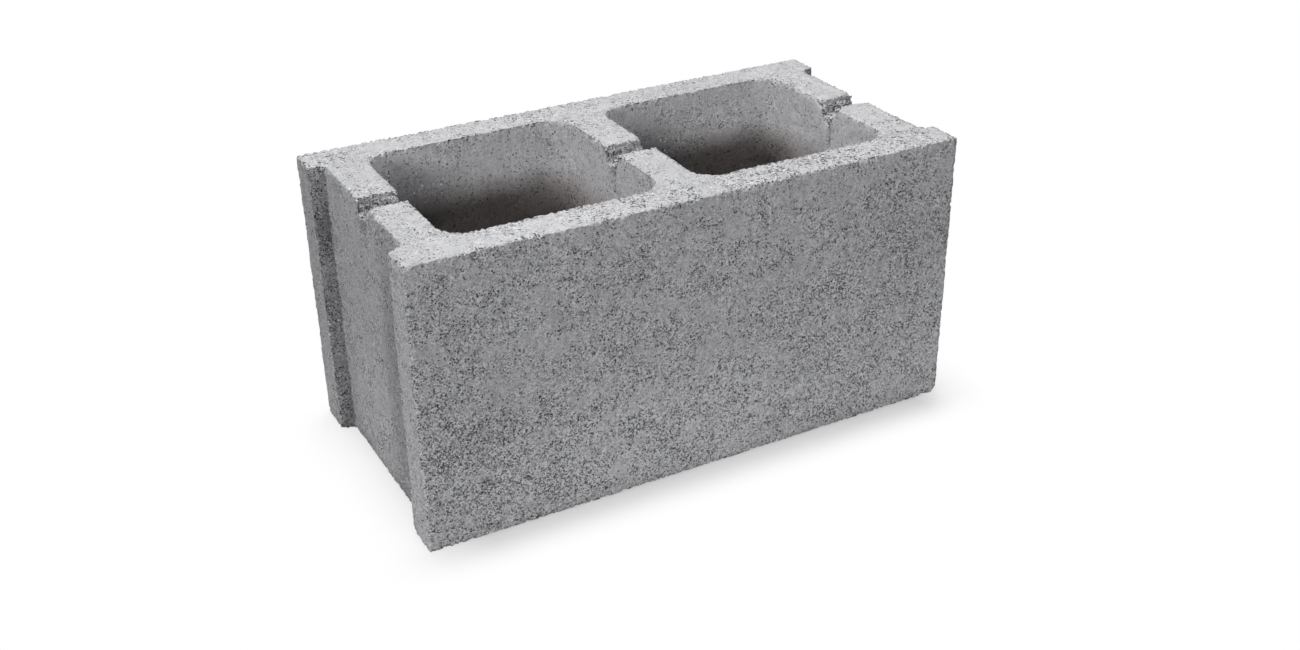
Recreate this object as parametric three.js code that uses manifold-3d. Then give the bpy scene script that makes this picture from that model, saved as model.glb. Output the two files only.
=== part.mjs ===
// A hollow concrete block with two cores, standing as it leaves its mould: the wider mouths of the
// cores, and the groove that the core bar leaves across the webs, are at the top.
// Millimetres. X runs along the block, Y across its width and Z up; the origin is in the middle of
// the bottom face.
import * as THREE from "three";
import { mergeVertices } from "three/addons/utils/BufferGeometryUtils.js";
import Module from "manifold-3d";

const wasm = await Module();
wasm.setup();

// Overall size.
const blockLength = 400;
const blockWidth = 200;
const blockHeight = 200;

// Walls, measured at the top of the block, where they are thinnest.
const shellThickness = 27;
const endWebThickness = 28;
const middleWebThickness = 28;

// Each core is a rounded rectangle. Its walls lean in by the draft from its top to its bottom.
const coreCount = 2;
const coreCornerRadius = 18;
const coreDraft = 3;

// Both ends are set back between two ears, which thicken by the flare from tip to root. Towards the
// bottom the ears thicken by one draft, and the recess gets shallower by the other.
const recessDepth = 10.5;
const earTipThickness = 25.5;
const earFlare = 4;
const recessFilletRadius = 1.5;
const earDraft = 3;
const recessDraft = 1;

// The core bar's groove, which crosses every web at the middle of the width.
const grooveMouthWidth = 17;
const grooveFloorWidth = 10;
const grooveDepth = 10;
const grooveLipRadius = 2;
const grooveFilletRadius = 2;

// Worn edges: the upright corners are rounded, and the rims of the top and bottom are chamfered.
const cornerRadius = 1.5;
const rimChamfer = 1;

// How far a cutting body stands clear of the face that it cuts.
const cutClearance = 5;

// Fineness of the arcs: an arc has twice as many facets as this.
const smallArcSegments = 2;
const coreArcSegments = 6;

const concrete = new THREE.MeshStandardMaterial({
  color: 0xbbbbbc,
  roughness: 0.95,
  metalness: 0,
});

// A closed outline through sharp corners, each [x, y, radius] and rounded to that radius.
function filletedShape(corners) {
  const shape = new THREE.Shape();
  const cornerAt = (i) => {
    const [x, y] = corners[(i + corners.length) % corners.length];
    return new THREE.Vector2(x, y);
  };
  corners.forEach(([, , radius], i) => {
    const corner = cornerAt(i);
    const towardsLast = cornerAt(i - 1).sub(corner).normalize();
    const towardsNext = cornerAt(i + 1).sub(corner).normalize();
    const halfAngle = Math.acos(towardsLast.dot(towardsNext)) / 2;
    const reach = radius / Math.tan(halfAngle);
    const start = corner.clone().addScaledVector(towardsLast, reach);
    const end = corner.clone().addScaledVector(towardsNext, reach);
    if (i === 0) {
      shape.moveTo(start.x, start.y);
    } else {
      shape.lineTo(start.x, start.y);
    }
    if (radius > 0) {
      const middle = towardsLast.clone().add(towardsNext).normalize();
      const centre = corner.clone().addScaledVector(middle, radius / Math.sin(halfAngle));
      const startAngle = start.clone().sub(centre).angle();
      const endAngle = end.clone().sub(centre).angle();
      const clockwise = towardsLast.cross(towardsNext) > 0;
      shape.absarc(centre.x, centre.y, radius, startAngle, endAngle, clockwise);
    }
  });
  shape.closePath();
  return shape;
}

// The plan of the block: a rectangle with a recess between two ears at each end.
function blockPlan() {
  const endX = blockLength / 2;
  const recessX = endX - recessDepth;
  const faceY = blockWidth / 2;
  const tipY = faceY - earTipThickness;
  const rootY = tipY - earFlare;
  const rightEnd = [
    [endX, -faceY, cornerRadius],
    [endX, -tipY, cornerRadius],
    [recessX, -rootY, recessFilletRadius],
    [recessX, rootY, recessFilletRadius],
    [endX, tipY, cornerRadius],
    [endX, faceY, cornerRadius],
  ];
  const leftEnd = rightEnd.map(([x, y, radius]) => [-x, -y, radius]);
  return filletedShape([...rightEnd, ...leftEnd]);
}

// Moves every vertex of a geometry to where a function of its old place puts it.
function moveVertices(geometry, newPlace) {
  const position = geometry.getAttribute("position");
  for (let i = 0; i < position.count; i += 1) {
    const place = newPlace(position.getX(i), position.getY(i), position.getZ(i));
    position.setXYZ(i, ...place);
  }
  return geometry;
}

// The share of a full draft that has built up at a height: none at the top, all of it at the bottom.
function draftShare(z) {
  return 1 - z / blockHeight;
}

// The plan raised to the block's height, with its rims chamfered and its end recesses drafted.
function blockBody() {
  const body = new THREE.ExtrudeGeometry(blockPlan(), {
    depth: blockHeight - 2 * rimChamfer,
    bevelThickness: rimChamfer,
    bevelSize: rimChamfer,
    bevelOffset: -rimChamfer,
    bevelSegments: 1,
    curveSegments: smallArcSegments,
  });
  body.translate(0, 0, rimChamfer);
  const innerSideY = (blockWidth - earTipThickness) / 2;
  return moveVertices(body, (x, y, z) => {
    if (Math.abs(y) > innerSideY) {
      return [x, y, z];
    }
    const setBack = (blockLength / 2 - Math.abs(x)) / recessDepth;
    const outwards = Math.sign(x) * recessDraft * setBack * draftShare(z);
    const inwards = Math.sign(y) * earDraft * draftShare(z);
    return [x + outwards, y - inwards, z];
  });
}

// One core, centred on the Z axis. It flares at both ends, which chamfers the mouths that it cuts.
function coreBody(coreLength, coreWidth) {
  const halfLength = coreLength / 2;
  const halfWidth = coreWidth / 2;
  const mouth = filletedShape([
    [halfLength, -halfWidth, coreCornerRadius],
    [halfLength, halfWidth, coreCornerRadius],
    [-halfLength, halfWidth, coreCornerRadius],
    [-halfLength, -halfWidth, coreCornerRadius],
  ]);
  const flare = rimChamfer + cutClearance;
  const core = new THREE.ExtrudeGeometry(mouth, {
    depth: blockHeight - 2 * rimChamfer,
    bevelThickness: flare,
    bevelSize: -flare,
    bevelOffset: flare,
    bevelSegments: 1,
    curveSegments: coreArcSegments,
  });
  core.translate(0, 0, rimChamfer);
  return moveVertices(core, (x, y, z) => {
    const lean = coreDraft * draftShare(z);
    return [x * (1 - lean / halfLength), y * (1 - lean / halfWidth), z];
  });
}

// The cores in a row, with equal webs between them.
function coreBodies() {
  const endWall = recessDepth + endWebThickness;
  const betweenEndWebs = blockLength - 2 * endWall;
  const coreLength = (betweenEndWebs - (coreCount - 1) * middleWebThickness) / coreCount;
  const coreWidth = blockWidth - 2 * shellThickness;
  const firstCentre = endWall + coreLength / 2 - blockLength / 2;
  return Array.from({ length: coreCount }, (_, i) => {
    const centreX = firstCentre + i * (coreLength + middleWebThickness);
    return coreBody(coreLength, coreWidth).translate(centreX, 0, 0);
  });
}

// The groove's section, drawn in Y and Z and run along the whole block, so it cuts every web alike.
function grooveBody() {
  const floorZ = blockHeight - grooveDepth;
  const clearZ = blockHeight + cutClearance;
  const halfMouth = grooveMouthWidth / 2;
  const halfFloor = grooveFloorWidth / 2;
  const shoulder = halfMouth + grooveLipRadius;
  const section = filletedShape([
    [-halfFloor, floorZ, grooveFilletRadius],
    [halfFloor, floorZ, grooveFilletRadius],
    [halfMouth, blockHeight, grooveLipRadius],
    [shoulder, blockHeight, 0],
    [shoulder, clearZ, 0],
    [-shoulder, clearZ, 0],
    [-shoulder, blockHeight, 0],
    [-halfMouth, blockHeight, grooveLipRadius],
  ]);
  const groove = new THREE.ExtrudeGeometry(section, {
    depth: blockLength + 2 * cutClearance,
    bevelEnabled: false,
    curveSegments: smallArcSegments,
  });
  const alongX = new THREE.Matrix4().makeBasis(
    new THREE.Vector3(0, 1, 0),
    new THREE.Vector3(0, 0, 1),
    new THREE.Vector3(1, 0, 0),
  );
  return groove.applyMatrix4(alongX).translate(-blockLength / 2 - cutClearance, 0, 0);
}

function toSolid(geometry) {
  const surface = geometry.clone();
  surface.deleteAttribute("normal");
  surface.deleteAttribute("uv");
  const merged = mergeVertices(surface);
  return new wasm.Manifold(
    new wasm.Mesh({
      numProp: 3,
      vertProperties: merged.getAttribute("position").array,
      triVerts: new Uint32Array(merged.index.array),
    }),
  );
}

function toGeometry(solid) {
  const mesh = solid.getMesh();
  const geometry = new THREE.BufferGeometry();
  geometry.setAttribute("position", new THREE.BufferAttribute(mesh.vertProperties, 3));
  geometry.setIndex(new THREE.BufferAttribute(mesh.triVerts, 1));
  geometry.computeVertexNormals();
  return geometry;
}

const cuts = [...coreBodies(), grooveBody()];
const blockSolid = cuts.reduce((solid, cut) => solid.subtract(toSolid(cut)), toSolid(blockBody()));
const block = new THREE.Mesh(toGeometry(blockSolid), concrete);
block.name = "block";

const part = new THREE.Group();
part.add(block);

export default part;
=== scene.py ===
import math
import random

import bmesh
import bpy
import numpy as np
from mathutils import Euler, Matrix, Quaternion, Vector
from mathutils.kdtree import KDTree


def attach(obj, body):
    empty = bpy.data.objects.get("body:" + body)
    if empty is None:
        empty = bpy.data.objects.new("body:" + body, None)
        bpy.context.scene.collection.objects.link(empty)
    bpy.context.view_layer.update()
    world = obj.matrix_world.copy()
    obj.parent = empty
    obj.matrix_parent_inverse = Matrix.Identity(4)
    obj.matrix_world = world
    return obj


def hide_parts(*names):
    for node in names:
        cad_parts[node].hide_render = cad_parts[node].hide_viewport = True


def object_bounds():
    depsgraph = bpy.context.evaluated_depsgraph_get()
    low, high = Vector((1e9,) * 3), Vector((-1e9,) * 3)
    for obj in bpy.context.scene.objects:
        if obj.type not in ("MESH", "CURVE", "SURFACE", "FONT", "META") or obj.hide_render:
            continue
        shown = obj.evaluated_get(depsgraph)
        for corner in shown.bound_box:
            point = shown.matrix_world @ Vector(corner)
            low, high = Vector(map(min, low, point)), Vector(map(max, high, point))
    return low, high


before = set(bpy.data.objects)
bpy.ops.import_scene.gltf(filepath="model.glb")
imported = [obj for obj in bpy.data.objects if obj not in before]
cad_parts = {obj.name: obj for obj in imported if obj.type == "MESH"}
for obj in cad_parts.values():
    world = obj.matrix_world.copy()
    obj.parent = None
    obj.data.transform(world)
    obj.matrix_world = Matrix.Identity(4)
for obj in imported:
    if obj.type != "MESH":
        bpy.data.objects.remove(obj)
cadLow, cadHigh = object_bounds()
length, width, height = cadHigh - cadLow
print("frame loaded")


# tools that every stage uses

def deselectAll():
    bpy.ops.object.select_all(action="DESELECT")


def pickOnly(piece):
    deselectAll()
    piece.select_set(True)
    bpy.context.view_layer.objects.active = piece


def clearSelection(piece, kind):
    # leaves object mode on, where edges and faces are flagged one by one
    pickOnly(piece)
    bpy.ops.object.mode_set(mode="EDIT")
    bpy.ops.mesh.select_mode(type=kind)
    bpy.ops.mesh.select_all(action="DESELECT")
    bpy.ops.object.mode_set(mode="OBJECT")


def editEdges(piece, wanted):
    # opens the piece in edit mode with just the edges selected whose two ends pass the test
    clearSelection(piece, "EDGE")
    corners = piece.data.vertices
    for edge in piece.data.edges:
        first, second = (corners[i].co for i in edge.vertices)
        edge.select = wanted(first, second)
    bpy.ops.object.mode_set(mode="EDIT")


def editFaces(piece, wanted):
    # the same for faces, by centre and normal
    clearSelection(piece, "FACE")
    for face in piece.data.polygons:
        face.select = wanted(face.center, face.normal)
    bpy.ops.object.mode_set(mode="EDIT")


def leaveEdit():
    bpy.ops.object.mode_set(mode="OBJECT")


def applyModifier(piece, modifier):
    pickOnly(piece)
    bpy.ops.object.modifier_apply(modifier=modifier.name)


def addBox(name, low, high):
    # a box from its lowest to its highest corner, with its place kept in its mesh
    low, high = Vector(low), Vector(high)
    deselectAll()
    bpy.ops.mesh.primitive_cube_add(size=1, location=(low + high) / 2, scale=high - low)
    box = bpy.context.object
    box.name = name
    bpy.ops.object.transform_apply(location=True, rotation=True, scale=True)
    return box


squarely = 0.9  # a flat face looks along an axis when its normal's share there is over this
mostly = 0.7  # the same for the rough skin


def isUpright(first, second):
    return abs(first.z - second.z) > height / 2


def directionFrom(azimuth, elevation):
    # azimuth 0 is straight in front of the block and grows towards its right end
    turn, lift = math.radians(azimuth), math.radians(elevation)
    level = math.cos(lift)
    return Vector((math.sin(turn) * level, -math.cos(turn) * level, math.sin(lift)))


# camera

cameraSetup = {
    "azimuth": -28.6,
    "elevation": 28.1,
    "roll": 0.8,
    "distance": 1.053,
    "aim": (0.0035, -0.0193, 0.0714),
    "lens": 41.4,
}


def placeCamera():
    back = directionFrom(cameraSetup["azimuth"], cameraSetup["elevation"])
    bpy.ops.object.camera_add(location=Vector(cameraSetup["aim"]) + back * cameraSetup["distance"])
    camera = bpy.context.object
    camera.name = "studioCamera"
    camera.rotation_mode = "QUATERNION"
    roll = Quaternion((0, 0, 1), math.radians(-cameraSetup["roll"]))
    camera.rotation_quaternion = (-back).to_track_quat("-Z", "Y") @ roll
    camera.data.lens = cameraSetup["lens"]
    bpy.context.scene.camera = camera


placeCamera()
print("camera placed")


# the block's moulded shape, cut from one box

mouldShape = {  # metres
    "shell": 0.027,  # front and back walls, at the top
    "endWeb": 0.028,
    "middleWeb": 0.028,
    "coreCorner": 0.018,
    "coreDraft": 0.003,  # the cores close in by this on every side towards the bottom
    "recessDepth": 0.0105,
    "recessDraft": 0.001,
    "earTip": 0.0255,
    "earFlare": 0.004,  # the ears thicken by this from tip to root
    "earDraft": 0.003,
    "recessFillet": 0.0015,
    "grooveMouth": 0.017,
    "grooveFloor": 0.010,
    "grooveDepth": 0.010,
    "cornerRadius": 0.0015,
    "cornerFacets": 3,
    "coreFacets": 10,
    "filletFacets": 2,
    "rimChamfer": 0.001,
    "clearance": 0.005,  # how far a cutter stands clear of the face that it cuts
}


def blockBody():
    shape = mouldShape
    body = addBox("block_visual", cadLow, cadHigh)
    editEdges(body, isUpright)
    bpy.ops.mesh.bevel(offset=shape["cornerRadius"], segments=shape["cornerFacets"], affect="EDGES")
    leaveEdit()
    editFaces(body, lambda centre, normal: abs(normal.z) > squarely)
    bpy.ops.mesh.bevel(offset=shape["rimChamfer"], segments=1, affect="EDGES")
    leaveEdit()
    return body


def resizeEnd(piece, atTop, scale):
    # scales the top or the bottom of a cutter about its own middle
    side = 1 if atTop else -1
    editFaces(piece, lambda centre, normal: normal.z * side > squarely)
    bpy.ops.transform.resize(value=scale)
    leaveEdit()


def coreCutter():
    shape = mouldShape
    halfLength = (length / 2 - shape["recessDepth"] - shape["endWeb"] - shape["middleWeb"] / 2) / 2
    halfWidth = width / 2 - shape["shell"]
    clear = shape["clearance"]
    cutter = addBox("core", (-halfLength, -halfWidth, -clear), (halfLength, halfWidth, height + clear))
    # the draft runs on through the clearance above and below the block
    slope = shape["coreDraft"] / height
    for atTop, reach in ((True, clear), (False, -height - clear)):
        grow = reach * slope
        resizeEnd(cutter, atTop, (1 + grow / halfLength, 1 + grow / halfWidth, 1))
    editEdges(cutter, isUpright)
    bpy.ops.mesh.bevel(offset=shape["coreCorner"], segments=shape["coreFacets"], affect="EDGES")
    leaveEdit()
    return cutter, shape["middleWeb"] / 2 + halfLength


def recessCutter():
    shape = mouldShape
    clear = shape["clearance"]
    halfMouth = width / 2 - shape["earTip"]
    face = cadLow.x + shape["recessDepth"]
    floorHalf = halfMouth - shape["earFlare"]
    mouthHalf = halfMouth + shape["earFlare"] * clear / shape["recessDepth"]
    cutter = addBox("recess", (cadLow.x - clear, -floorHalf, -clear), (face, floorHalf, height + clear))
    editFaces(cutter, lambda centre, normal: normal.x < -squarely)
    bpy.ops.transform.resize(value=(1, mouthHalf / floorHalf, 1))
    leaveEdit()
    editFaces(cutter, lambda centre, normal: normal.z < -squarely)
    shrink = shape["earDraft"] * (height + clear) / height
    bpy.ops.transform.resize(value=(1, 1 - shrink / halfMouth, 1))
    leaveEdit()
    # the recess is shallower towards the bottom
    atFace = face - 2 * shape["recessDraft"]
    editEdges(cutter, lambda a, b: max(a.z, b.z) < 0 and min(a.x, b.x) > atFace)
    bpy.ops.transform.translate(value=(-shape["recessDraft"], 0, 0))
    leaveEdit()
    editEdges(cutter, lambda a, b: isUpright(a, b) and min(a.x, b.x) > atFace)
    bpy.ops.mesh.bevel(offset=shape["recessFillet"], segments=shape["filletFacets"], affect="EDGES")
    leaveEdit()
    return cutter


def grooveCutter():
    shape = mouldShape
    clear = shape["clearance"]
    slope = (shape["grooveMouth"] - shape["grooveFloor"]) / 2 / shape["grooveDepth"]
    halfTop = shape["grooveMouth"] / 2 + slope * clear
    low = (cadLow.x - clear, -halfTop, height - shape["grooveDepth"])
    high = (cadHigh.x + clear, halfTop, height + clear)
    cutter = addBox("groove", low, high)
    resizeEnd(cutter, False, (1, shape["grooveFloor"] / 2 / halfTop, 1))
    return cutter


def cutAway(body, cutter, overlapping=False):
    # overlapping says that the cutter's own pieces run into each other
    cut = body.modifiers.new("cut", "BOOLEAN")
    cut.operation = "DIFFERENCE"
    cut.solver = "EXACT"
    cut.use_self = overlapping
    cut.object = cutter
    applyModifier(body, cut)
    deselectAll()
    bpy.data.objects.remove(cutter)


def copyOf(piece):
    twin = piece.copy()
    twin.data = piece.data.copy()
    bpy.context.collection.objects.link(twin)
    return twin


def modelBlock():
    body = blockBody()
    core, coreCentre = coreCutter()
    for side in (-1, 1):
        twin = copyOf(core)
        pickOnly(twin)
        twin.location.x = side * coreCentre
        bpy.ops.object.transform_apply(location=True)
        cutAway(body, twin)
    bpy.data.objects.remove(core)
    recess = recessCutter()
    for turn in (0, math.pi):
        twin = copyOf(recess)
        pickOnly(twin)
        twin.rotation_euler.z = turn
        bpy.ops.object.transform_apply(rotation=True)
        cutAway(body, twin)
    bpy.data.objects.remove(recess)
    cutAway(body, grooveCutter())
    return body


block = modelBlock()
print("block moulded:", len(block.data.polygons), "faces")


# chips knocked out of the arrises

chipSetup = {
    "count": 110,
    "smallest": 0.0009,
    "largest": 0.0030,
    "rarity": 2.2,  # the higher, the fewer of the large ones
    "uprightLargest": 0.0012,
    "spacing": 0.0015,  # between the places along an arris where a chip may sit
    "sharpFrom": 20,  # degrees that an edge turns by to be an arris
    "roughness": 0.16,  # of the stones that knock them out
    "stoneSeed": 4,
    "stretch": (0.7, 1.5),
    "standOff": (0.35, 0.75),  # how far a stone's middle stays outside the arris, against its size
    "seed": 23,
}

namedChips = (  # place and size of the ones that are easy to see
    ((0.200, -0.100, 0.000), 0.0060),
    ((-0.200, -0.100, 0.200), 0.0022),
    ((-0.1895, -0.071, 0.200), 0.0036),
    ((-0.1895, 0.000, 0.190), 0.0030),
    ((-0.0140, 0.001, 0.190), 0.0030),
    ((-0.0140, -0.0085, 0.200), 0.0036),
    ((-0.1895, -0.0085, 0.200), 0.0030),
    ((-0.060, -0.100, 0.000), 0.0028),
)


def arrisPlaces(piece):
    # points along every outward edge of the moulded shape, each with the way it faces
    shape = bmesh.new()
    shape.from_mesh(piece.data)
    places = []
    for edge in shape.edges:
        if edge.is_convex and edge.calc_face_angle(0) > math.radians(chipSetup["sharpFrom"]):
            first, second = (corner.co for corner in edge.verts)
            outward = sum((face.normal for face in edge.link_faces), Vector()).normalized()
            steps = max(1, math.ceil((second - first).length / chipSetup["spacing"]))
            places += [(first.lerp(second, step / steps), outward) for step in range(steps + 1)]
    shape.free()
    return places


def chipStone():
    # a rough lump one metre in radius, scaled down for each chip
    deselectAll()
    bpy.ops.mesh.primitive_ico_sphere_add(subdivisions=2, radius=1)
    stone = bpy.context.object
    bpy.ops.object.mode_set(mode="EDIT")
    seed = chipSetup["stoneSeed"]
    bpy.ops.transform.vertex_random(offset=chipSetup["roughness"], uniform=1.0, seed=seed)
    leaveEdit()
    return stone


def isLevel(outward):
    # an arris faces up or down when it is level, and only sideways when it is upright
    return abs(outward.z) > 0.3


def knockOffChips(body):
    setup = chipSetup
    draw = random.Random(setup["seed"])
    places = arrisPlaces(body)
    stone = chipStone()
    growth = setup["largest"] / setup["smallest"]
    chosen = []
    for _ in range(setup["count"]):
        place, outward = draw.choice(places)
        size = setup["smallest"] * growth ** (draw.random() ** setup["rarity"])
        if isLevel(outward) or size < setup["uprightLargest"]:
            chosen.append((place, outward, size))
    for corner, size in namedChips:
        place, outward = min(places, key=lambda spot: (spot[0] - Vector(corner)).length)
        chosen.append((place, outward, size))
    chips = []
    for place, outward, size in chosen:
        chip = copyOf(stone)
        turn = Euler([draw.uniform(0, math.tau) for _ in range(3)]).to_matrix().to_4x4()
        stretch = Matrix.Diagonal([size * draw.uniform(*setup["stretch"]) for _ in range(3)]).to_4x4()
        centre = place + outward * size * draw.uniform(*setup["standOff"])
        chip.data.transform(Matrix.Translation(centre) @ turn @ stretch)
        chips.append(chip)
    bpy.data.objects.remove(stone)
    deselectAll()
    for chip in chips:
        chip.select_set(True)
    bpy.context.view_layer.objects.active = chips[0]
    bpy.ops.object.join()
    cutAway(body, chips[0], overlapping=True)


arrises = arrisPlaces(block)
sharpBlock = copyOf(block)  # the shape that no later step may stand out from
knockOffChips(block)
print("chips knocked off:", len(block.data.polygons), "faces")


# the cast skin: the shape is remeshed finely, then worn, torn, pitted and roughened inwards

skinSetup = {
    "voxel": 0.001,
    "triangles": 190000,
    "wear": 0.0022,  # how deep the corners beside the groove are worn
    # each layer presses the skin in by its depth where its pattern is below low, less up to high
    "waviness": {"size": 0.030, "depth": 0.0004, "low": 0.25, "high": 0.75},
    "gnaw": {"size": 0.0090, "depth": 0.0005, "low": 0.12, "high": 0.40},
    "rag": {"size": 0.0020, "depth": 0.0015, "low": 0.30, "high": 0.56},
    "torn": {"size": 0.0030, "depth": 0.0018, "low": 0.20, "high": 0.80},
    "pits": {"size": 0.0075, "depth": 0.0012, "low": 0.08, "high": 0.30},
    "grain": {"size": 0.0026, "depth": 0.0004, "low": 0.30, "high": 0.70},
    "arrisReach": 0.0045,  # how far from an arris the gnaw and rag fade out
    "uprightShare": 0.15,  # how much of them the upright arrises get, which are crisper
    "levelOpen": 0.35,  # how much of the pits and grain the level faces get
    "coreOpen": 0.45,  # the same for the cores' walls near the top
    "coreOpenTo": 0.05,  # depths down to which they get it, and from which they get none
    "corePlainFrom": 0.12,
}

# where the part with the cores begins, in from the block's sides and ends
coreZone = {"fromSide": 0.020, "skinFromEnd": 0.030, "lookFromEnd": 0.025}

# how far the wear reaches round the corners beside the groove, and the share of that at full depth
lipWear = {"near": 0.0065, "far": 0.0060, "full": 0.2}

# rough lines down the web faces under the groove: face, way it looks, how far down they run
castSeams = (
    (-0.1895, -1, 0.011),
    (-0.0140, -1, 0.028),
    (0.1615, -1, 0.030),
)
seamLine = {
    "y": -0.0042,
    "full": 0.00095,  # how far to either side it is at its roughest, and from where it is gone
    "gone": 0.00228,
    "faceDepth": 0.004,  # how near its face, and how squarely facing, the skin has to be
    "facing": 0.6,
    "fadeFrom": 0.6,  # the share of its length from which it fades
    "mouth": 0.0050,  # half the width of the torn patch right under the groove
    "mouthDrop": 0.010,
}

# the groove's torn skin: how far past its walls, and how far below its rim and its floor
grooveSkin = {"past": 0.0005, "edge": 0.0015}


def vertexData(piece, kind):
    values = np.empty(len(piece.data.vertices) * 3, np.float32)
    piece.data.vertices.foreach_get(kind, values)
    return values.reshape(-1, 3)


def fade(values, near, far):
    # 1 up to near, 0 from far on, smooth between
    t = np.clip((far - values) / (far - near), 0, 1)
    return t * t * (3 - 2 * t)


def distanceTo(points, places):
    tree = KDTree(len(points))
    for index, point in enumerate(points):
        tree.insert(point, index)
    tree.balance()
    return np.array([tree.find(place)[2] for place in places.tolist()], np.float32)


def webFaces():
    # x of every upright web face
    outer = length / 2 - mouldShape["recessDepth"]
    inner = outer - mouldShape["endWeb"]
    middle = mouldShape["middleWeb"] / 2
    return [side * x for side in (-1, 1) for x in (outer, inner, middle)]


def wornWeight(places):
    # the corners where the groove's lips meet the web faces
    lip = mouldShape["grooveMouth"] / 2
    worn = np.zeros(len(places), np.float32)
    for x in webFaces():
        for y, reach in ((-lip, lipWear["near"]), (lip, lipWear["far"])):
            away = np.linalg.norm(places - (x, y, height), axis=1)
            worn = np.maximum(worn, fade(away, reach * lipWear["full"], reach))
    return worn


def tornWeight(places, normals):
    # the groove, the seams and the torn patches at their upper ends
    line = seamLine
    edge = grooveSkin["edge"]
    floor = height - mouldShape["grooveDepth"]
    x, y, z = places.T
    inGroove = (z > floor - edge) & (z < height - edge) & (np.abs(normals[:, 0]) < mostly)
    inGroove &= np.abs(y) < mouldShape["grooveMouth"] / 2 + grooveSkin["past"]
    torn = np.where(inGroove, 1.0, 0.0)
    below = floor - z
    across = fade(np.abs(y - line["y"]), line["full"], line["gone"])
    mouth = fade(np.abs(y), line["mouth"] * line["fadeFrom"], line["mouth"])
    mouth = mouth * fade(below, 0, line["mouthDrop"])
    for face, way, drop in castSeams:
        onFace = (np.abs(x - face) < line["faceDepth"]) & (normals[:, 0] * way > line["facing"])
        along = fade(below, drop * line["fadeFrom"], drop)
        torn = np.maximum(torn, onFace * np.maximum(across * along, mouth))
    return torn.astype(np.float32)


def inCoreZone(places, fromEnd):
    x, y, z = places.T
    return (np.abs(y) < width / 2 - coreZone["fromSide"]) & (np.abs(x) < length / 2 - fromEnd)


def openWeight(places, normals):
    # the outer faces are the most open, the cores' walls smoother and plain deep down
    skin = skinSetup
    upright = np.abs(normals[:, 2]) < mostly
    onCore = upright & inCoreZone(places, coreZone["skinFromEnd"])
    core = skin["coreOpen"] * fade(height - places[:, 2], skin["coreOpenTo"], skin["corePlainFrom"])
    return np.where(onCore, core, np.where(upright, 1.0, skin["levelOpen"])).astype(np.float32)


def arrisPoints(level):
    return [place for place, outward in arrises if isLevel(outward) == level]


def arrisWeight(places):
    reach = skinSetup["arrisReach"]
    weight = fade(distanceTo(arrisPoints(False), places), 0.0, reach) * skinSetup["uprightShare"]
    return np.maximum(weight, fade(distanceTo(arrisPoints(True), places), 0.0, reach))


def paintGroup(piece, name, weights):
    # in a few steps, which is quicker than point by point
    steps = 16
    group = piece.vertex_groups.new(name=name)
    levels = np.round(np.clip(weights, 0, 1) * steps).astype(int)
    for level in range(1, steps + 1):
        chosen = np.nonzero(levels == level)[0].tolist()
        if chosen:
            group.add(chosen, level / steps, "REPLACE")


def pressIn(piece, name, group=None, kind="CLOUDS"):
    layerSetup = skinSetup[name]
    texture = bpy.data.textures.new(name, kind)
    texture.noise_scale = layerSetup["size"]
    texture.use_color_ramp = True
    ends = texture.color_ramp.elements
    ends[0].position, ends[0].color = layerSetup["low"], (0, 0, 0, 1)
    ends[1].position, ends[1].color = layerSetup["high"], (1, 1, 1, 1)
    layer = piece.modifiers.new(name, "DISPLACE")
    layer.texture = texture
    layer.texture_coords = "LOCAL"
    layer.mid_level = 1
    layer.strength = layerSetup["depth"]
    if group:
        layer.vertex_group = group
    applyModifier(piece, layer)


def remeshFinely(piece):
    remesh = piece.modifiers.new("remesh", "REMESH")
    remesh.mode = "VOXEL"
    remesh.voxel_size = skinSetup["voxel"]
    applyModifier(piece, remesh)


def holdInside(piece):
    # whatever a displaced fin pushed out goes back to the moulded surface
    hold = piece.modifiers.new("hold", "SHRINKWRAP")
    hold.target = sharpBlock
    hold.wrap_method = "NEAREST_SURFACEPOINT"
    hold.wrap_mode = "INSIDE"
    applyModifier(piece, hold)


def castSkin(piece):
    remeshFinely(piece)
    places, normals = vertexData(piece, "co"), vertexData(piece, "normal")
    paintGroup(piece, "worn", wornWeight(places))
    paintGroup(piece, "arris", arrisWeight(places))
    paintGroup(piece, "torn", tornWeight(places, normals))
    paintGroup(piece, "open", openWeight(places, normals))

    wear = piece.modifiers.new("wear", "DISPLACE")
    wear.mid_level = 0
    wear.strength = -skinSetup["wear"]
    wear.vertex_group = "worn"
    applyModifier(piece, wear)
    pressIn(piece, "waviness")
    pressIn(piece, "gnaw", "arris")
    pressIn(piece, "rag", "arris")
    pressIn(piece, "torn", "torn")
    pressIn(piece, "pits", "open", "VORONOI")
    pressIn(piece, "grain", "open")
    holdInside(piece)

    thin = piece.modifiers.new("thin", "DECIMATE")
    thin.ratio = skinSetup["triangles"] / (2 * len(piece.data.polygons))
    applyModifier(piece, thin)
    holdInside(piece)
    piece.vertex_groups.clear()


castSkin(block)
bpy.data.objects.remove(sharpBlock)
print("skin cast:", len(block.data.polygons), "triangles")


# concrete

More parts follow.
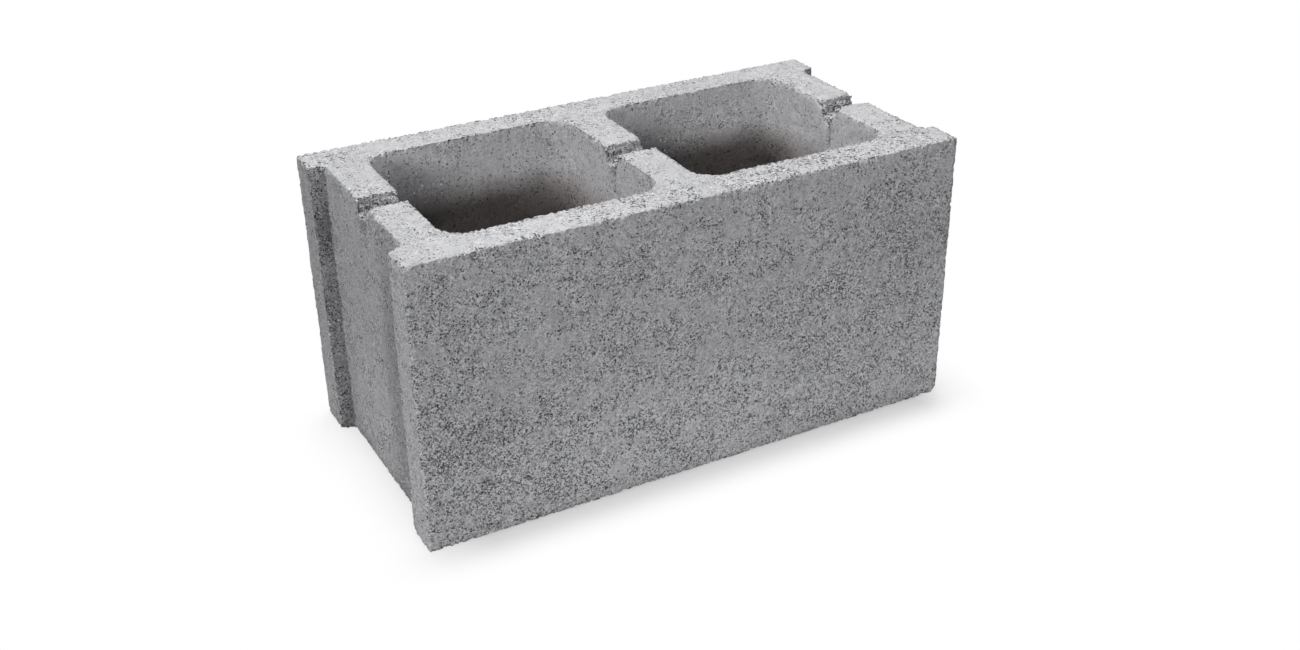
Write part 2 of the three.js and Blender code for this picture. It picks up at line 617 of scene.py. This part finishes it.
concreteLook = {
    "base": (0.522, 0.522, 0.538),
    "paintedCoreShade": (0.410, 0.378, 0.368),  # painted shade: darker and browner deep down in the cores, where little light reaches
    "paintedShadeDepths": {"fromTop": 0.028, "fullFromTop": 0.055, "fromBottom": 0.015, "fullFromBottom": 0.045},
    "roughness": 0.93,
    "specular": 0.25,
    "blotch": {"size": 0.070, "share": 0.04},
    "mottle": {"size": 0.011, "share": 0.07},
    "streak": {"width": 0.0016, "length": 0.060, "share": 0.07},
    "grains": ({"size": 0.0019, "share": 0.10}, {"size": 0.0009, "share": 0.34}),
    "fine": {"size": 0.0006, "share": 0.50},
    # the dark of the crevices, pits, hollows and seams is painted shade in the holes
    "crevice": {"core": 0.02, "width": 0.20, "patch": 0.0060, "low": 0.50, "high": 0.60, "dark": 0.12},
    "pit": {"size": 0.00145, "reach": 0.50, "core": 0.85, "shallowest": 0.15, "dark": 0.98},
    "clusters": {"size": 0.0080, "low": 0.42, "high": 0.62, "few": 0.10, "many": 0.60, "most": 0.65},
    "hollow": {"size": 0.0029, "reach": 0.42, "core": 0.70, "dark": 0.70},
    "hollows": {"from": 1.1, "full": 2.2, "most": 0.55},
    "speck": {"size": 0.0026, "reach": 0.30, "core": 0.60, "from": 0.88, "full": 0.98, "bright": 1.85},
    "seam": {"width": 0.0019, "core": 0.40, "from": 1.2, "full": 1.8, "dark": 0.65},
    "beads": {"size": 0.0019, "low": 0.49, "high": 0.55},
    "faint": 0.45,  # how much of the holes and bright grains is left where it is least open
    # level faces, by how far the normal points up or down: finer grain and more pinholes
    "level": {"from": 0.5, "full": 0.8, "grain": 0.55, "pits": 1.60},
    "least": 0.12,  # how dark and how pale the concrete gets at most, against its base
    "most": 1.40,
    "coarseness": {"long": 1.16, "end": 0.90, "level": 1.00, "core": 0.60, "torn": 1.9},
    # what is added along the groove's lips and the upright arrises, and how far it reaches
    "coarseEdge": {"lip": 0.5, "arris": 0.4, "full": 0.001, "lipReach": 0.003, "arrisReach": 0.004},
    "patches": {"size": 0.022, "flat": 1.8, "low": 0.35, "high": 0.65, "least": 0.45, "most": 1.55},
    "relief": {"height": 0.0005, "fine": 0.8, "crevice": 0.6},
}

# spots where it is paler or darker, most of them painted shade and painted light, the rest the
# concrete's own tone: centre, reach along x, y and z, the way the face looks, how much
paintedLightShadeAndToneSpots = (
    # the near ears' outer faces paler
    ((-0.20, -0.087, 0.10), (0.012, 0.018, 0.40), (-1, 0, 0), 0.14),
    ((0.20, -0.087, 0.10), (0.012, 0.018, 0.40), (1, 0, 0), 0.10),
    # painted light: the front face paler at its foot, where the floor's light would fall
    ((-0.02, -0.10, 0.02), (0.15, 0.02, 0.08), (0, -1, 0), 0.11),
    # darker patches on the front face
    ((0.17, -0.10, 0.14), (0.09, 0.02, 0.07), (0, -1, 0), -0.08),
    ((-0.15, -0.10, 0.09), (0.06, 0.02, 0.05), (0, -1, 0), -0.05),
    # painted shade: the left recess darker towards its near ear and towards its far ear
    ((-0.19, -0.040, 0.085), (0.012, 0.030, 0.16), (-1, 0, 0), -0.27),
    ((-0.19, 0.072, 0.060), (0.012, 0.030, 0.14), (-1, 0, 0), -0.14),
    # painted shade: the groove's worn ends on the web faces darker
    ((-0.19, -0.001, 0.188), (0.010, 0.009, 0.014), (-1, 0, 1), -0.38),
    ((-0.014, -0.001, 0.188), (0.010, 0.009, 0.014), (-1, 0, 1), -0.38),
    # painted light: the right-hand walls of the cores paler
    ((-0.014, 0.00, 0.16), (0.012, 0.10, 0.12), (-1, 0, 0), 0.26),
    ((0.1615, 0.00, 0.16), (0.012, 0.10, 0.12), (-1, 0, 0), 0.26),
    # painted shadow: the left parts of the cores' back walls and the right core's right-hand wall
    # darker
    ((-0.148, 0.073, 0.158), (0.065, 0.03, 0.038), (0, -1, 0), -0.55),
    ((0.034, 0.073, 0.155), (0.065, 0.03, 0.036), (0, -1, 0), -0.66),
    ((0.1595, 0.050, 0.140), (0.02, 0.045, 0.018), (-1, 0, 0), -0.35),
    # painted light: the right parts of the cores' back walls paler
    ((-0.034, 0.073, 0.155), (0.035, 0.03, 0.026), (0, -1, 0), 0.35),
    ((0.141, 0.073, 0.155), (0.035, 0.03, 0.026), (0, -1, 0), 0.15),
    # painted shade: the whole left recess a little darker
    ((-0.19, 0.0, 0.10), (0.01, 0.20, 0.40), (-1, 0, 0), -0.05),
    # painted shade: the groove's far wall darker along its length
    ((0.0, 0.007, 0.195), (1.0, 0.007, 0.012), (0, -1, 0), -0.22),
    # paler patches on the top, and the far ear's outer face darker at the left end
    ((-0.11, -0.09, 0.20), (0.14, 0.03, 0.01), (0, 0, 1), 0.07),
    ((-0.09, 0.00, 0.20), (0.14, 0.08, 0.01), (0, 0, 1), 0.04),
    ((-0.20, 0.087, 0.10), (0.012, 0.018, 0.40), (-1, 0, 0), -0.14),
    # painted shade: the ears' inner faces in the end recesses darker
    ((-0.195, 0.072, 0.10), (0.02, 0.02, 0.40), (0, -1, 0), -0.36),
    ((0.195, 0.072, 0.10), (0.02, 0.02, 0.40), (0, -1, 0), -0.32),
    ((-0.195, -0.072, 0.10), (0.02, 0.02, 0.40), (0, 1, 0), -0.20),
    ((0.195, -0.072, 0.10), (0.02, 0.02, 0.40), (0, 1, 0), -0.20),
)

# spots where the concrete is more or less open, written the same way
coarseSpots = (
    ((-0.17, -0.10, 0.03), (0.11, 0.02, 0.11), (0, -1, 0), 0.65),
    ((-0.02, -0.10, 0.03), (0.12, 0.02, 0.06), (0, -1, 0), 0.4),
    ((0.13, -0.10, 0.08), (0.10, 0.02, 0.13), (0, -1, 0), 0.35),
    ((0.06, -0.10, 0.19), (0.22, 0.02, 0.05), (0, -1, 0), -0.25),
    ((-0.14, -0.10, 0.15), (0.08, 0.02, 0.06), (0, -1, 0), -0.10),
    ((0.13, -0.09, 0.20), (0.09, 0.03, 0.01), (0, 0, 1), 0.9),
    ((-0.02, -0.09, 0.20), (0.14, 0.03, 0.01), (0, 0, 1), 0.45),
    ((-0.02, 0.09, 0.20), (0.05, 0.03, 0.01), (0, 0, 1), 0.5),
    ((-0.19, 0.075, 0.10), (0.02, 0.01, 0.30), (0, -1, 0), 0.35),
    ((0.18, 0.0, 0.20), (0.03, 0.06, 0.01), (0, 0, 1), -0.45),
)

# a spot is full up to this share of its reach, and fades as a face turns from facing to turned
spotEdge = {"full": 0.3, "facing": 0.6, "turned": 0.3}

noiseRange = (0.25, 0.75)  # what noise mostly lies between


def addNode(tree, kind, **settings):
    made = tree.nodes.new("ShaderNode" + kind)
    for name, value in settings.items():
        setattr(made, name, value)
    return made


def plug(tree, source, target):
    # an output is linked, a number or colour is written on the socket
    if isinstance(source, bpy.types.NodeSocket):
        tree.links.new(source, target)
    else:
        target.default_value = source


def pointValue(tree, name):
    # what markPoints wrote on the mesh
    return addNode(tree, "Attribute", attribute_name=name).outputs["Fac"]


def axesOf(tree, vector):
    made = addNode(tree, "SeparateXYZ")
    plug(tree, vector, made.inputs[0])
    return made.outputs


def mathNode(tree, operation, *values):
    made = addNode(tree, "Math", operation=operation)
    for value, socket in zip(values, made.inputs):
        plug(tree, value, socket)
    return made.outputs[0]


def times(tree, *values):
    product = values[0]
    for value in values[1:]:
        product = mathNode(tree, "MULTIPLY", product, value)
    return product


def minus(tree, value, *others):
    for other in others:
        value = mathNode(tree, "SUBTRACT", value, other)
    return value


def oneLess(tree, value, share):
    # 1 where value is 0, darker by share where it is 1
    return mathNode(tree, "MULTIPLY_ADD", value, -share, 1.0)


def spread(tree, value, low, high, outLow=0.0, outHigh=1.0, smooth=False):
    made = addNode(tree, "MapRange", clamp=True)
    made.interpolation_type = "SMOOTHSTEP" if smooth else "LINEAR"
    sockets = ("Value", "From Min", "From Max", "To Min", "To Max")
    for socket, given in zip(sockets, (value, low, high, outLow, outHigh)):
        plug(tree, given, made.inputs[socket])
    return made.outputs[0]


def squeezed(tree, place, share):
    # the same place with its height scaled, which draws a pattern out or flattens it
    made = addNode(tree, "Mapping")
    plug(tree, place, made.inputs["Vector"])
    made.inputs["Scale"].default_value = (1, 1, share)
    return made.outputs[0]


def noiseNode(tree, place, size, detail=3, roughness=0.5):
    made = addNode(tree, "TexNoise")
    plug(tree, place, made.inputs["Vector"])
    made.inputs["Scale"].default_value = 1 / size
    made.inputs["Detail"].default_value = detail
    made.inputs["Roughness"].default_value = roughness
    return made.outputs["Fac"]


def voronoiNode(tree, place, size, feature="F1"):
    made = addNode(tree, "TexVoronoi", feature=feature)
    plug(tree, place, made.inputs["Vector"])
    made.inputs["Scale"].default_value = 1 / size
    return made


def channelsOf(tree, colour):
    made = addNode(tree, "SeparateColor")
    plug(tree, colour, made.inputs[0])
    return made.outputs


def dotsOn(tree, place, dots):
    # a round dot in every cell, and the random numbers of the cell that choose between them
    cells = voronoiNode(tree, place, dots["size"])
    core = dots["reach"] * dots["core"]
    dot = spread(tree, cells.outputs["Distance"], core, dots["reach"], 1, 0)
    return dot, channelsOf(tree, cells.outputs["Color"])


def rampNode(tree, value, stops):
    # straight lines from stop to stop, each stop a place and a level
    first, last = stops[0][0], stops[-1][0]
    made = addNode(tree, "ValToRGB")
    ends = made.color_ramp.elements
    while len(ends) < len(stops):
        ends.new(0.5)
    for end, (place, level) in zip(ends, stops):
        end.position = (place - first) / (last - first)
        end.color = (level, level, level, 1)
    plug(tree, spread(tree, value, first, last), made.inputs["Fac"])
    return made.outputs["Color"]


def vary(tree, noise, share):
    # noise as a factor around 1
    return spread(tree, noise, *noiseRange, 1 - share, 1 + share)


def spotWeight(spots, places, normals):
    total = np.zeros(len(places), np.float32)
    for centre, reach, way, share in spots:
        away = np.linalg.norm((places - centre) / reach, axis=1)
        facing = normals @ np.array(Vector(way).normalized())
        turned = fade(-facing, -spotEdge["facing"], -spotEdge["turned"])
        total += share * fade(away, spotEdge["full"], 1.0) * turned
    return total


def coarseness(places, normals):
    # how open the concrete is at each point, which sets how strongly grains and holes stand out
    share = concreteLook["coarseness"]
    edge = concreteLook["coarseEdge"]
    x, y, z = places.T
    coarse = np.full(len(places), share["end"], np.float32)
    coarse[np.abs(normals[:, 1]) > mostly] = share["long"]
    coarse[inCoreZone(places, coreZone["lookFromEnd"])] = share["core"]
    coarse[np.abs(normals[:, 2]) > mostly] = share["level"]
    coarse += spotWeight(coarseSpots, places, normals)
    lips = np.abs(np.abs(y) - mouldShape["grooveMouth"] / 2)
    coarse += edge["lip"] * fade(lips, edge["full"], edge["lipReach"]) * (z > height - edge["lipReach"])
    fromArris = distanceTo(arrisPoints(False), places)
    coarse += edge["arris"] * fade(fromArris, edge["full"], edge["arrisReach"])
    return np.maximum(coarse, tornWeight(places, normals) * share["torn"])


def paintedCoreShadeWeight(places):
    # how much of the painted shade deep in the cores shows, ending short of their mouths
    paintedShadeDepths = concreteLook["paintedShadeDepths"]
    x, y, z = places.T
    fromTop = fade(z, height - paintedShadeDepths["fullFromTop"], height - paintedShadeDepths["fromTop"])
    fromBottom = fade(-z, -paintedShadeDepths["fullFromBottom"], -paintedShadeDepths["fromBottom"])
    onCore = inCoreZone(places, coreZone["lookFromEnd"])
    return (onCore * fromTop * fromBottom).astype(np.float32)


def makeConcrete():
    look = concreteLook
    material = bpy.data.materials.new("castConcrete")
    material.use_nodes = True
    tree = material.node_tree
    surface = tree.nodes["Principled BSDF"]
    place = addNode(tree, "TexCoord").outputs["Object"]

    # it is more open in some patches, which lie level as the mould was filled
    part = look["patches"]
    patches = noiseNode(tree, squeezed(tree, place, part["flat"]), part["size"], roughness=0.6)
    patches = spread(tree, patches, part["low"], part["high"], part["least"], part["most"])
    coarse = pointValue(tree, "coarse")
    contrast = times(tree, coarse, patches)
    faint = spread(tree, contrast, 0, 1, look["faint"], 1.0)

    # slow changes of tone
    blotch = noiseNode(tree, place, look["blotch"]["size"], detail=2)
    blotch = vary(tree, blotch, look["blotch"]["share"])
    mottle = noiseNode(tree, place, look["mottle"]["size"], detail=4, roughness=0.6)
    mottle = vary(tree, mottle, look["mottle"]["share"])

    # faint lines that the mould draws upwards on the upright faces
    part = look["streak"]
    streak = noiseNode(tree, squeezed(tree, place, part["width"] / part["length"]), part["width"])
    streak = minus(tree, vary(tree, streak, part["share"]), 1.0)
    level = look["level"]
    looks = axesOf(tree, addNode(tree, "NewGeometry").outputs["Normal"])
    upright = spread(tree, mathNode(tree, "ABSOLUTE", looks["Z"]), level["from"], level["full"], 1, 0)
    streakTone = mathNode(tree, "MULTIPLY_ADD", streak, upright, 1.0)

    # sand grains of their own tone, and finer ones between
    fine = noiseNode(tree, place, look["fine"]["size"], roughness=0.65)
    tone = minus(tree, vary(tree, fine, look["fine"]["share"]), 1.0)
    for sand in look["grains"]:
        own = channelsOf(tree, voronoiNode(tree, place, sand["size"]).outputs["Color"])[0]
        own = mathNode(tree, "MULTIPLY_ADD", own, sand["share"] * 2, -sand["share"])
        tone = mathNode(tree, "ADD", tone, own)
    calm = spread(tree, upright, 0, 1, level["grain"], 1)
    grain = mathNode(tree, "MULTIPLY_ADD", tone, times(tree, contrast, calm), 1.0)

    # dark crevices between some of the grains, painted shade that stands in for their shadow
    part = look["crevice"]
    gaps = voronoiNode(tree, place, look["grains"][0]["size"], "DISTANCE_TO_EDGE").outputs["Distance"]
    some = noiseNode(tree, place, part["patch"], detail=4, roughness=0.7)
    some = spread(tree, some, part["low"], part["high"])
    crevice = times(tree, spread(tree, gaps, part["core"], part["width"], 1, 0), some)

    # pinholes, which gather in clusters, darkened with painted shade
    part = look["clusters"]
    clusters = noiseNode(tree, place, part["size"], roughness=0.7)
    clusters = spread(tree, clusters, part["low"], part["high"], part["few"], part["many"])
    clusters = times(tree, clusters, contrast, spread(tree, upright, 0, 1, level["pits"], 1))
    clusters = mathNode(tree, "MINIMUM", clusters, part["most"])
    dot, own = dotsOn(tree, place, look["pit"])
    chosen = mathNode(tree, "LESS_THAN", own[2], clusters)
    depth = spread(tree, own[0], 0, 1, look["pit"]["shallowest"], 1.0)
    pit = times(tree, dot, chosen, depth, faint)

    # wider hollows, where the level faces are most open, darkened with painted shade
    part = look["hollows"]
    openness = times(tree, contrast, oneLess(tree, upright, 1.0))
    share = spread(tree, openness, part["from"], part["full"], 0, part["most"])
    dot, own = dotsOn(tree, place, look["hollow"])
    hollow = times(tree, dot, mathNode(tree, "LESS_THAN", own[1], share))

    # the seams that the core bar leaves, chains of small holes darkened with painted shade
    part = look["seam"]
    fromSeam = mathNode(tree, "ABSOLUTE", minus(tree, axesOf(tree, place)["Y"], seamLine["y"]))
    seam = spread(tree, fromSeam, part["width"] * part["core"], part["width"], 1, 0)
    beads = noiseNode(tree, place, look["beads"]["size"], detail=2)
    beads = spread(tree, beads, look["beads"]["low"], look["beads"]["high"])
    seam = times(tree, seam, beads, spread(tree, coarse, part["from"], part["full"]))

    # a few bright grains, partly pale sand and partly painted highlights on the relief
    part = look["speck"]
    dot, own = dotsOn(tree, place, part)
    speck = times(tree, dot, spread(tree, own[1], part["from"], part["full"]), faint)

    shade = times(
        tree,
        # the spots' tone, painted shade and painted light among them
        pointValue(tree, "tone"),
        blotch,
        mottle,
        streakTone,
        grain,
        oneLess(tree, crevice, look["crevice"]["dark"]),
        oneLess(tree, pit, look["pit"]["dark"]),
        oneLess(tree, hollow, look["hollow"]["dark"]),
        oneLess(tree, seam, look["seam"]["dark"]),
    )
    shade = mathNode(tree, "MINIMUM", mathNode(tree, "MAXIMUM", shade, look["least"]), look["most"])
    shade = mathNode(tree, "MAXIMUM", shade, times(tree, speck, look["speck"]["bright"]))
    paintedShadeTint = addNode(tree, "Mix", data_type="VECTOR")
    # painted shade: the deep weight turns the base colour darker and browner
    plug(tree, pointValue(tree, "deep"), paintedShadeTint.inputs["Factor"])
    paintedShadeTint.inputs[4].default_value = look["base"]
    paintedShadeTint.inputs[5].default_value = look["paintedCoreShade"]
    colour = addNode(tree, "VectorMath", operation="SCALE")
    plug(tree, paintedShadeTint.outputs[1], colour.inputs[0])
    plug(tree, shade, colour.inputs["Scale"])
    plug(tree, colour.outputs[0], surface.inputs["Base Color"])
    surface.inputs["Roughness"].default_value = look["roughness"]
    surface.inputs["Specular IOR Level"].default_value = look["specular"]

    # the same patterns as relief
    relief = look["relief"]
    rise = mathNode(tree, "MULTIPLY", fine, relief["fine"])
    rise = minus(tree, rise, times(tree, crevice, relief["crevice"]), pit, hollow)
    bump = addNode(tree, "Bump")
    bump.inputs["Strength"].default_value = 1.0
    bump.inputs["Distance"].default_value = relief["height"]
    plug(tree, rise, bump.inputs["Height"])
    plug(tree, bump.outputs[0], surface.inputs["Normal"])
    return material


def markPoints(piece, name, values):
    mark = piece.data.attributes.new(name, "FLOAT", "POINT")
    mark.data.foreach_set("value", values)


skinPlaces, skinNormals = vertexData(block, "co"), vertexData(block, "normal")
markPoints(block, "coarse", coarseness(skinPlaces, skinNormals))
# the tone weight carries the spots, painted shade and painted light among them
markPoints(block, "tone", 1 + spotWeight(paintedLightShadeAndToneSpots, skinPlaces, skinNormals))
# the deep weight: how much painted shade the cores' walls get
markPoints(block, "deep", paintedCoreShadeWeight(skinPlaces))
block.data.materials.clear()
block.data.materials.append(makeConcrete())
pickOnly(block)
bpy.ops.object.shade_smooth()
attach(block, "root")
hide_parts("block")
print("concrete laid on")


# floor, world and lights

studioSetup = {
    "floorSize": 8.0,
    "floorColour": 0.60,
    "floorLift": 0.36,  # what the camera sees on top of the lit floor near the block
    "whiteFrom": 0.004,  # metres out from the block
    "whiteAt": 0.040,
    # how much of the shade is left at each x, which wanes past the ends
    "shadeAlong": (
        (-0.240, 0.0),
        (-0.200, 0.36),
        (-0.160, 1.0),
        (0.180, 1.0),
        (0.200, 0.5),
        (0.260, 0.0),
    ),
    # how pale the floor is for the light it sends back up, near the block and far from it
    "bounce": {"near": 0.42, "far": 0.04, "nearEnds": 0.08, "farStarts": 0.22},
}

# azimuth, elevation, distance, width and height of the panel, and its light on a surface that faces it
studioLights = {
    "topPanel": (180, 84, 2.0, 0.6, 0.6, 0.92),
    "leftPanel": (-76, 20, 2.2, 0.8, 0.5, 0.455),
    "frontPanel": (8, 17.5, 2.5, 1.3, 0.30, 0.38),
    "rearPanel": (140, 14, 2.5, 1.0, 0.5, 0.25),
}


def seenDirectly(tree):
    # 1 for what the camera sees, also in a mirror or through glass
    seen = addNode(tree, "LightPath")
    direct = mathNode(tree, "MAXIMUM", seen.outputs["Is Camera Ray"], seen.outputs["Is Glossy Ray"])
    return mathNode(tree, "MAXIMUM", direct, seen.outputs["Is Transmission Ray"])


def layFloor():
    setup = studioSetup
    deselectAll()
    bpy.ops.mesh.primitive_plane_add(size=setup["floorSize"], location=(0, 0, 0))
    floor = bpy.context.object
    floor.name = "studioFloor"
    material = bpy.data.materials.new("paleFloor")
    material.use_nodes = True
    tree = material.node_tree
    tree.nodes.remove(tree.nodes["Principled BSDF"])
    surface = tree.nodes["Material Output"].inputs["Surface"]
    direct = seenDirectly(tree)
    place = axesOf(tree, addNode(tree, "TexCoord").outputs["Object"])
    alongX = minus(tree, mathNode(tree, "ABSOLUTE", place["X"]), length / 2)
    alongY = minus(tree, mathNode(tree, "ABSOLUTE", place["Y"]), width / 2)
    away = mathNode(tree, "MAXIMUM", alongX, alongY)  # how far out from the block, below 0 under it
    pale = setup["bounce"]
    bounce = spread(tree, away, pale["nearEnds"], pale["farStarts"], pale["near"], pale["far"])
    bounce = mathNode(tree, "MULTIPLY", bounce, mathNode(tree, "GREATER_THAN", away, 0.0))
    lit = addNode(tree, "BsdfDiffuse")
    plug(tree, spread(tree, direct, 0, 1, bounce, setup["floorColour"]), lit.inputs["Color"])
    glow = addNode(tree, "Emission")
    glow.inputs["Color"].default_value = (1, 1, 1, 1)
    plug(tree, mathNode(tree, "MULTIPLY", direct, setup["floorLift"]), glow.inputs["Strength"])
    near = addNode(tree, "AddShader")
    plug(tree, lit.outputs[0], near.inputs[0])
    plug(tree, glow.outputs[0], near.inputs[1])
    white = addNode(tree, "Emission")
    white.inputs["Color"].default_value = (1, 1, 1, 1)
    white.inputs["Strength"].default_value = 1
    mix = addNode(tree, "MixShader")
    shade = spread(tree, alongY, setup["whiteFrom"], setup["whiteAt"], 1, 0, smooth=True)
    shade = times(tree, shade, rampNode(tree, place["X"], setup["shadeAlong"]))
    plug(tree, times(tree, oneLess(tree, shade, 1.0), direct), mix.inputs[0])
    plug(tree, near.outputs[0], mix.inputs[1])
    plug(tree, white.outputs[0], mix.inputs[2])
    plug(tree, mix.outputs[0], surface)
    floor.data.materials.append(material)


def lightWorld():
    world = bpy.data.worlds.new("studioWorld")
    bpy.context.scene.world = world
    world.use_nodes = True
    tree = world.node_tree
    background = tree.nodes["Background"]
    background.inputs["Color"].default_value = (1, 1, 1, 1)
    plug(tree, seenDirectly(tree), background.inputs["Strength"])


def hangLights():
    for name, (azimuth, elevation, distance, across, tall, level) in studioLights.items():
        way = directionFrom(azimuth, elevation)
        bpy.ops.object.light_add(type="AREA", location=Vector((0, 0, height / 2)) + way * distance)
        lamp = bpy.context.object
        lamp.name = name
        lamp.rotation_mode = "QUATERNION"
        lamp.rotation_quaternion = (-way).to_track_quat("-Z", "Y")
        lamp.data.shape = "RECTANGLE"
        lamp.data.size = across
        lamp.data.size_y = tall
        lamp.data.energy = level * math.pi ** 2 * distance ** 2
        lamp.data.use_shadow = True


layFloor()
lightWorld()
hangLights()
bpy.context.scene.view_settings.view_transform = "Standard"
print("studio set up")
